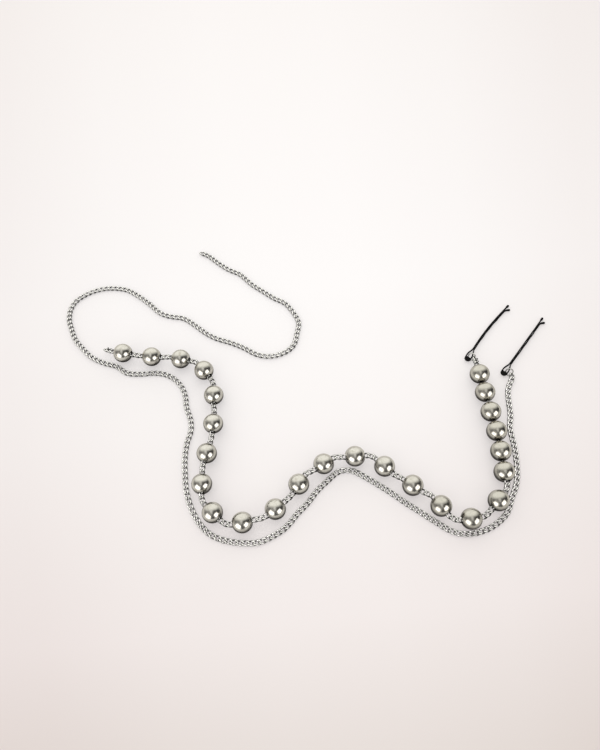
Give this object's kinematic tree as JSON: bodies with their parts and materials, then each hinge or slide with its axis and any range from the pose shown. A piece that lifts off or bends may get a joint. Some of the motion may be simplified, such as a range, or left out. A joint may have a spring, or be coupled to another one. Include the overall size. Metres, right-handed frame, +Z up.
{
  "type": "chain headband",
  "caption": "Chain headband laid flat in waves: round beads joined by short curb chain, a longer plain curb chain, and a bent hair pin held by a jump ring at one end of each.",
  "frame": {"origin": "middle of the outline, on the surface that the headband lies on", "axes": "+X along the longest extent, from the loose ends towards the hair pins; +Y away from the camera; +Z up from the surface"},
  "size_m": [0.3111, 0.2187, 0.012],
  "materials": {
    "bead": "polished silver plating",
    "chain": "polished silver plating",
    "ring": "polished silver plating",
    "wire": "plain drawn wire",
    "pin": "black gloss enamel"
  },
  "bodies": {
    "root": {"bead_01": "bead", "bead_02": "bead", "bead_03": "bead", "bead_04": "bead", "bead_05": "bead", "bead_06": "bead", "bead_07": "bead", "bead_08": "bead", "bead_09": "bead", "bead_10": "bead", "bead_11": "bead", "bead_12": "bead", "bead_13": "bead", "bead_14": "bead", "bead_15": "bead", "bead_16": "bead", "bead_17": "bead", "bead_18": "bead", "bead_19": "bead", "bead_20": "bead", "bead_21": "bead", "bead_22": "bead", "bead_23": "bead", "bead_24": "bead", "bead_25": "bead", "bead_wires": "wire", "strand_links_left": "chain", "strand_links_right": "chain", "strand_ring": "ring", "strand_pin": "pin", "plain_chain_back": "chain", "plain_chain_front": "chain", "plain_end_link": "chain", "plain_ring": "ring", "plain_pin": "pin"}
  },
  "joints": []
}
